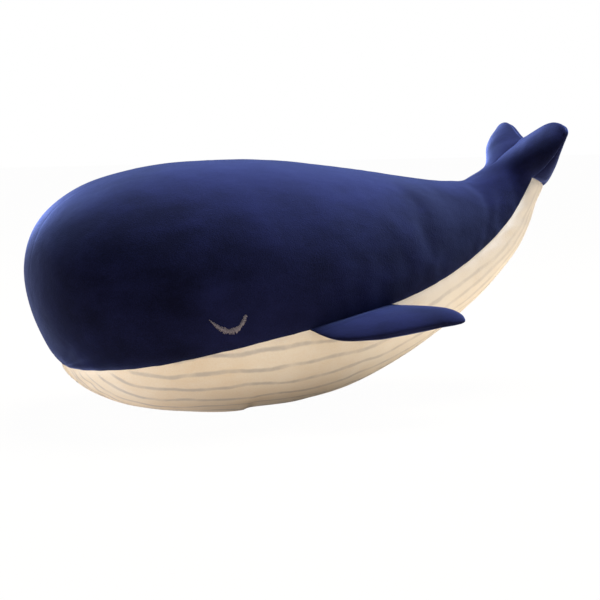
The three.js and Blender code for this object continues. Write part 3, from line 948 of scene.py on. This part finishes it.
def stitchTree(values):
    # satin stitches side by side across a line on the cloth
    tree = bpy.data.node_groups.new("satinStitches", "GeometryNodeTree")
    addSocket(tree, "Geometry", "NodeSocketGeometry")
    for name in stitchSizes:
        addSocket(tree, name, "NodeSocketFloat", values[name.lower()])
    addSocket(tree, "Seed", "NodeSocketInt", values["seed"])
    addSocket(tree, "Material", "NodeSocketMaterial")
    addSocket(tree, "Geometry", "NodeSocketGeometry", output=True)
    given = tree.nodes.new("NodeGroupInput").outputs

    def made(kind, inputs, output=0, **settings):
        return addNode(tree, kind, inputs, output, **settings)

    def read(name, kind):
        return made("GeometryNodeInputNamedAttribute", {"Name": name}, "Attribute", data_type=kind)

    def scattered(least, most):
        limits = {2: least, 3: most, "Seed": given["Seed"]}
        return made("FunctionNodeRandomValue", limits, 1, data_type="FLOAT")

    # one stitch: a thread that arches across the line, half as high as the curve's middle point, and sinks
    # into the cloth at its ends
    along, around = values["facets"]
    sunk = mathNode(tree, "MULTIPLY", given["Thread"], -values["sunk"])
    high = mathNode(tree, "MULTIPLY", given["Arch"], 2.0)
    arc = {"Resolution": along}
    for name, across, rise in (("Start", -0.5, sunk), ("Middle", 0.0, high), ("End", 0.5, sunk)):
        arc[name] = made("ShaderNodeCombineXYZ", {"Y": across, "Z": rise})
    radius = mathNode(tree, "MULTIPLY", given["Thread"], 0.5)
    stitch = made("GeometryNodeCurveToMesh", {
        "Curve": made("GeometryNodeCurveQuadraticBezier", arc),
        "Profile Curve": made("GeometryNodeCurvePrimitiveCircle", {"Resolution": around, "Radius": radius}),
        "Fill Caps": True})

    # each stitch stands square to the cloth, a little slanted, and as wide as the band is there
    line = made("GeometryNodeMeshToCurve", {0: given["Geometry"]})
    spots = made("GeometryNodeResampleCurve", {"Curve": line, "Length": given["Spacing"]}, mode="LENGTH")
    turned = made("FunctionNodeAxesToRotation", {
        0: read("surfaceUp", "FLOAT_VECTOR"), 1: made("GeometryNodeInputTangent", {})},
        primary_axis="Z", secondary_axis="X")
    slant = scattered(mathNode(tree, "MULTIPLY", given["Slant"], -1.0), given["Slant"])
    slanted = made("FunctionNodeAxisAngleToRotation", {"Axis": (0, 0, 1), "Angle": slant})
    turned = made("FunctionNodeRotateRotation", {0: turned, 1: slanted}, rotation_space="LOCAL")
    ragged = scattered(mathNode(tree, "SUBTRACT", 1.0, given["Uneven"]),
                       mathNode(tree, "ADD", 1.0, given["Uneven"]))
    wide = mathNode(tree, "MULTIPLY", read("bandWidth", "FLOAT"), ragged)
    scale = made("ShaderNodeCombineXYZ", {"X": 1.0, "Y": wide, "Z": 1.0})
    placed = made("GeometryNodeInstanceOnPoints", {
        "Points": spots, "Instance": stitch, "Rotation": turned, "Scale": scale})
    real = made("GeometryNodeRealizeInstances", {0: placed})
    finished = made("GeometryNodeSetMaterial", {"Geometry": real, "Material": given["Material"]})
    made("NodeGroupOutput", {"Geometry": finished})
    return tree


def applied(piece, name):
    # the evaluated piece as a plain mesh of its own
    made = bpy.data.meshes.new_from_object(piece.evaluated_get(bpy.context.evaluated_depsgraph_get()))
    source = piece.data
    bpy.data.objects.remove(piece)
    bpy.data.meshes.remove(source)
    made.name = name
    made.polygons.foreach_set("use_smooth", [True] * len(made.polygons))
    plain = bpy.data.objects.new(name, made)
    scene.collection.objects.link(plain)
    return plain


def makeEye(values, tree, side, material):
    s = np.linspace(-1, 1, values["points"])
    front, rear, low = (np.array(values[key]) for key in ("front", "rear", "low"))
    spots, ups = [], []
    for across, down in spline(values["arc"], (s + 1) / 2 * (len(values["arc"]) - 1)):
        station, share = front + (rear - front) * across + low * down
        column = share / float(seamShare(np.array(station)))
        spot, normal = onSkin(station, column if side == "left" else 4 - column)
        spots.append(spot + normal * values["lift"])
        ups.append(normal)
    mesh = bpy.data.meshes.new(side + "EyeLine")
    mesh.from_pydata([tuple(p) for p in spots], [(k, k + 1) for k in range(len(spots) - 1)], [])
    atFront, atRear, power = values["taper"]
    narrow = np.where(s < 0, atFront, atRear) * np.abs(s) ** power
    wide = mesh.attributes.new("bandWidth", "FLOAT", "POINT")
    wide.data.foreach_set("value", (values["band"] * (1 - narrow)).astype(np.float32))
    up = mesh.attributes.new("surfaceUp", "FLOAT_VECTOR", "POINT")
    up.data.foreach_set("vector", np.array(ups, np.float32).ravel())
    line = bpy.data.objects.new(side + "EyeLine", mesh)
    scene.collection.objects.link(line)
    modifier = line.modifiers.new("stitches", "NODES")
    modifier.node_group = tree
    sockets = {item.name: item.identifier for item in tree.interface.items_tree if item.in_out == "INPUT"}
    chosen = {name: values[name.lower()] for name in stitchSizes}
    chosen["Seed"] = values["seed"] + (side == "right")
    chosen["Material"] = material
    for name, value in chosen.items():
        modifier[sockets[name]] = value
    return applied(line, side + "EyeStitches")


# Materials
def newMaterial(name):
    material = bpy.data.materials.new(name)
    material.use_nodes = True
    material.node_tree.nodes.clear()
    return material


def noiseNode(tree, scale, detail, stretch=None):
    # noise in the piece's own metres
    place = addNode(tree, "ShaderNodeTexCoord", {}, "Object")
    if stretch:
        place = addNode(tree, "ShaderNodeMapping", {"Scale": stretch, "Vector": place})
    return addNode(tree, "ShaderNodeTexNoise", {"Vector": place, "Scale": scale, "Detail": detail})


def mixNode(tree, share, first, second):
    return addNode(tree, "ShaderNodeMix", {"Factor": share, 6: first, 7: second}, 2, data_type="RGBA")


def clothMaterial(name, values):
    # a cloth surface with the values that are the same all over it
    material = newMaterial(name)
    tree = material.node_tree
    surface = tree.nodes.new("ShaderNodeBsdfPrincipled")
    addNode(tree, "ShaderNodeOutputMaterial", {"Surface": surface.outputs[0]})
    sockets = {"roughness": "Roughness", "specular": "Specular IOR Level", "sheen": "Sheen Weight",
               "sheenRoughness": "Sheen Roughness", "sheenTint": "Sheen Tint"}
    for key, socket in sockets.items():
        surface.inputs[socket].default_value = values[key]
    return material, tree, surface


def addBump(tree, surface, height, strength, distance):
    bump = {"Height": height, "Strength": strength, "Distance": distance}
    tree.links.new(addNode(tree, "ShaderNodeBump", bump), surface.inputs["Normal"])


# The layers of the nap, each with its noise's detail and stretch: brushed patches, short strokes and tufts
napLayers = {"Cloud": (3.0, None), "Stroke": (3.0, (0.5, 1, 1)), "Grain": (1.0, None)}


def napGroup():
    tree = bpy.data.node_groups.new("velvetNap", "ShaderNodeTree")
    addSocket(tree, "Pressed", "NodeSocketColor", (0.5, 0.5, 0.5, 1))
    addSocket(tree, "Raised", "NodeSocketColor", (0.6, 0.6, 0.6, 1))
    # lightens or darkens the nap, partly as painted highlight and painted shade
    addSocket(tree, "Nap And Painted Light", "NodeSocketFloat", 0.0)
    for layer in napLayers:
        for part in ("Scale", "Amount", "Height"):
            addSocket(tree, layer + " " + part, "NodeSocketFloat", 1.0)
    addSocket(tree, "Color", "NodeSocketColor", output=True)
    addSocket(tree, "Height", "NodeSocketFloat", output=True)
    given = tree.nodes.new("NodeGroupInput").outputs
    light, height = mathNode(tree, "ADD", given["Nap And Painted Light"], 0.5), 0.0
    for layer, (detail, stretch) in napLayers.items():
        field = mathNode(tree, "SUBTRACT", noiseNode(tree, given[layer + " Scale"], detail, stretch), 0.5)
        lighter = mathNode(tree, "MULTIPLY", field, given[layer + " Amount"])
        light = mathNode(tree, "ADD", lighter, light, layer == "Grain")
        height = mathNode(tree, "ADD", mathNode(tree, "MULTIPLY", field, given[layer + " Height"]), height)
    color = mixNode(tree, light, given["Pressed"], given["Raised"])
    addNode(tree, "NodeGroupOutput", {"Color": color, "Height": height})
    return tree


def plushMaterial(name, values, group):
    material, tree, surface = clothMaterial(name, values)
    nap = tree.nodes.new("ShaderNodeGroup")
    nap.node_tree = group
    nap.inputs["Pressed"].default_value = values["pressed"]
    nap.inputs["Raised"].default_value = values["raised"]
    for layer in napLayers:
        for part, value in zip(("Scale", "Amount", "Height"), values[layer.lower()]):
            nap.inputs[layer + " " + part].default_value = value
    # painted highlight and painted shade, with some nap, move each point between the pressed and raised
    # colours
    napAndPaintedLight = addNode(tree, "ShaderNodeAttribute", {}, "Fac", attribute_name="napAndPaintedLight")
    tree.links.new(napAndPaintedLight, nap.inputs["Nap And Painted Light"])
    tree.links.new(nap.outputs["Color"], surface.inputs["Base Color"])
    addBump(tree, surface, nap.outputs["Height"], 1.0, 0.001)  # the layers' heights are in millimetres
    return material, nap, surface


# Each layer of the nap: features a metre, how much it lightens, and its height in millimetres
navyValues = {
    "pressed": (0.0036, 0.0042, 0.0175, 1),
    "raised": (0.0090, 0.0115, 0.0540, 1),
    "cloud": (11.0, 1.7, 2.2),
    "stroke": (38.0, 1.2, 0.6),
    "grain": (700.0, 1.1, 0.30),
    "roughness": 1.0,
    "specular": 0.02,
    "sheen": 1.0,
    "sheenRoughness": 0.38,
    "sheenTint": (0.235, 0.335, 0.89, 1),
}
creamValues = {
    "pressed": (0.75, 0.66, 0.555, 1),
    "raised": (0.85, 0.84, 0.825, 1),
    "cloud": (12.0, 0.9, 1.0),
    "stroke": (55.0, 0.6, 0.3),
    "grain": (700.0, 0.8, 0.25),
    "roughness": 1.0,
    "specular": 0.1,
    "sheen": 0.15,
    "sheenRoughness": 0.5,
    "sheenTint": (1.0, 0.95, 0.9, 1),
}
fibreValues = {
    "pressed": (0.70, 0.69, 0.66, 1),
    "raised": (0.92, 0.92, 0.90, 1),
    "cloud": (40.0, 0.8, 1.5),
    "stroke": (160.0, 0.9, 0.8),
    "grain": (900.0, 0.6, 0.15),
    "roughness": 1.0,
    "specular": 0.1,
    "sheen": 0.4,
    "sheenRoughness": 0.6,
    "sheenTint": (1.0, 1.0, 1.0, 1),
}
printValues = {
    "color": (0.34, 0.35, 0.41, 1),
    "strength": 0.55,
    "width": 0.0027,
    "soft": 0.0028,  # over which a line's edge fades
    "broken": 0.55,  # how strongly the print wears in patches
    # features a metre, and detail
    "wobble": (90.0, 2.0),
    "swell": (22.0, 1.0),
    "patches": (38.0, 3.0),
    "patchy": (0.42, 4.0),  # above which the print wears, and how sharply
}
threadValues = {
    "color": (0.27, 0.25, 0.31, 1),
    "shade": (0.11, 0.10, 0.14, 1),
    "fibres": (2600.0, 3.0),  # features a metre, and detail
    "bump": (0.4, 0.0002),  # strength and depth
    "roughness": 0.42,
    "specular": 0.5,
    "sheen": 0.3,
    "sheenRoughness": 0.5,
    "sheenTint": (1.0, 1.0, 1.0, 1),
}


def printGroup(values):
    # thin soft lines printed on the cloth, from the number of lines at each point
    tree = bpy.data.node_groups.new("printedLines", "ShaderNodeTree")
    for name in ("Number", "Gap", "Printed", "Width", "Soft", "Broken"):
        addSocket(tree, name, "NodeSocketFloat", 0.5)
    addSocket(tree, "Mask", "NodeSocketFloat", output=True)
    given = tree.nodes.new("NodeGroupInput").outputs

    def worked(operation, first, second=None, clamp=False):
        return mathNode(tree, operation, first, second, clamp)

    above, sharp = values["patchy"]
    away = worked("ABSOLUTE", worked("SUBTRACT", given["Number"], worked("ROUND", given["Number"])))
    wobble = worked("SUBTRACT", noiseNode(tree, *values["wobble"]), 0.5)
    away = worked("ADD", worked("MULTIPLY", away, given["Gap"]), worked("MULTIPLY", wobble, given["Soft"]))
    swollen = worked("MULTIPLY", noiseNode(tree, *values["swell"]), given["Width"])
    edge = worked("SUBTRACT", 1.0, worked("DIVIDE", worked("SUBTRACT", away, swollen), given["Soft"]), True)
    patchy = worked("SUBTRACT", noiseNode(tree, *values["patches"]), above)
    faded = worked("MULTIPLY", patchy, worked("MULTIPLY", given["Broken"], sharp))
    kept = worked("SUBTRACT", 1.0, worked("MAXIMUM", faded, 0.0), True)
    mask = worked("MULTIPLY", worked("MULTIPLY", edge, kept), given["Printed"])
    addNode(tree, "NodeGroupOutput", {"Mask": mask})
    return tree


def addPrint(material, nap, surface, values, group):
    tree = material.node_tree
    lines = tree.nodes.new("ShaderNodeGroup")
    lines.node_tree = group
    for name in ("Number", "Gap", "Printed"):
        field = addNode(tree, "ShaderNodeAttribute", {}, "Fac", attribute_name="line" + name)
        tree.links.new(field, lines.inputs[name])
    for name in ("Width", "Soft", "Broken"):
        lines.inputs[name].default_value = values[name.lower()]
    share = mathNode(tree, "MULTIPLY", lines.outputs["Mask"], values["strength"])
    tree.links.new(mixNode(tree, share, nap.outputs["Color"], values["color"]), surface.inputs["Base Color"])


def threadMaterial(values):
    material, tree, surface = clothMaterial("eyeThread", values)
    fibres = noiseNode(tree, *values["fibres"])
    tree.links.new(mixNode(tree, fibres, values["shade"], values["color"]), surface.inputs["Base Color"])
    addBump(tree, surface, fibres, *values["bump"])
    return material


nap = napGroup()
creamPlush, creamNap, creamSurface = plushMaterial("creamPlush", creamValues, nap)
addPrint(creamPlush, creamNap, creamSurface, printValues, printGroup(printValues))
finishes = {
    "navy_plush": plushMaterial("navyPlush", navyValues, nap)[0],
    "cream_plush": creamPlush,
    "fibre_filling": plushMaterial("fibreFilling", fibreValues, nap)[0],
    "eye_thread": threadMaterial(threadValues),
}
stitches = stitchTree(eyeValues)
eyes = {side: makeEye(eyeValues, stitches, side, finishes["eye_thread"]) for side in ("left", "right")}
print("stage: eyes stitched,", len(eyes["left"].data.polygons), "faces each")


# Stage and lights
lightValues = {
    "world": 0.33,
    "floor": (0.72, 0.58, 0.41, 1),
    "floorSize": 6.0,  # from the middle to each side
    "floorWhite": 0.98,  # how much of the floor is plain white to the camera: the rest keeps its shadow
    "lamps": [
        # name, place, aim, size, degrees of spread, watts, colour
        ("above", (0.40, 0.20, 1.85), (0.05, 0, 0.18), 1.1, 180, 90.0, (1.0, 1.0, 1.0)),
        ("tailSide", (1.6, -1.7, 0.2), (0.1, 0, 0.15), 0.8, 180, 3.3, (0.72, 0.87, 1.0)),
        ("chin", (-1.9, -0.9, 0.05), (-0.40, -0.10, -0.05), 0.12, 12, 0.25, (1.0, 0.96, 0.90)),
    ],
}


def seenThrough(tree, other):
    # 1 where the camera looks, directly or by this other kind of ray
    path = tree.nodes.new("ShaderNodeLightPath").outputs
    return mathNode(tree, "MAXIMUM", path["Is Camera Ray"], path[other])


def makeStage(values):
    mesh = bpy.data.meshes.new("floor")
    size = values["floorSize"]
    corners = [(-size, -size, 0), (size, -size, 0), (size, size, 0), (-size, size, 0)]
    mesh.from_pydata(corners, [], [(0, 1, 2, 3)])
    floor = bpy.data.objects.new("floor", mesh)
    scene.collection.objects.link(floor)
    material = newMaterial("paleFloor")
    tree = material.node_tree
    share = mathNode(tree, "MULTIPLY", seenThrough(tree, "Is Glossy Ray"), values["floorWhite"])
    matt = addNode(tree, "ShaderNodeBsdfDiffuse", {"Color": values["floor"]})
    white = addNode(tree, "ShaderNodeEmission", {"Color": (1, 1, 1, 1), "Strength": 1.0})
    mixed = addNode(tree, "ShaderNodeMixShader", {0: share, 1: matt, 2: white})
    addNode(tree, "ShaderNodeOutputMaterial", {"Surface": mixed})
    mesh.materials.append(material)

    world = bpy.data.worlds.new("studio")
    scene.world = world
    world.use_nodes = True
    tree = world.node_tree
    tree.nodes.clear()
    light = {"Factor": seenThrough(tree, "Is Transmission Ray"), 2: values["world"], 3: 1.0}
    strength = addNode(tree, "ShaderNodeMix", light, data_type="FLOAT")
    back = addNode(tree, "ShaderNodeBackground", {"Color": (1, 1, 1, 1), "Strength": strength})
    addNode(tree, "ShaderNodeOutputWorld", {"Surface": back})

    for name, place, aim, size, spread, watts, colour in values["lamps"]:
        lamp = bpy.data.lights.new(name, "AREA")
        lamp.size = size
        lamp.spread = math.radians(spread)
        lamp.energy = watts
        lamp.color = colour
        holder = bpy.data.objects.new(name, lamp)
        holder.location = place
        holder.rotation_euler = (Vector(aim) - Vector(place)).to_track_quat("-Z", "Y").to_euler()
        scene.collection.objects.link(holder)


makeStage(lightValues)
print("stage: floor and lights set")


# Each piece gets its material and hides the imported solid that it stands for; the covers and eyes are held
# by the whale's body, and the flipper pieces keep their place in the frame
def dress(piece, slot, body, node):
    if not piece.data.materials:
        piece.data.materials.append(finishes[slot])
    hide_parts(node)
    if isinstance(body, str):
        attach(piece, body)
    else:
        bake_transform(piece)


def dressAll():
    for side in ("left", "right"):
        dress(covers[side], "navy_plush", "whale_body", side + "_side_cover")
        dress(eyes[side], "eye_thread", "whale_body", side + "_eye")
        sign = np.array([1, 1 if side == "left" else -1, 1])
        start, end = (tuple((flipperHome["origin"] + flipperHome["axes"][1] * out) * sign)
                      for out in flipperValues["bend"])
        bend = ("whale_body", side + "_flipper", start, end)
        parts = flippers[side]
        dress(parts["Upper"], "navy_plush", bend, side + "_flipper_upper_cover")
        dress(parts["Under"], "navy_plush", bend, side + "_flipper_under_cover")
        dress(parts["Filling"], "fibre_filling", bend, side + "_flipper_filling")
    dress(covers["belly"], "cream_plush", "whale_body", "belly_cover")
    dress(covers["fluke"], "navy_plush", "whale_body", "fluke_under_cover")
    dress(bodyFilling, "fibre_filling", "whale_body", "body_filling")


dressAll()
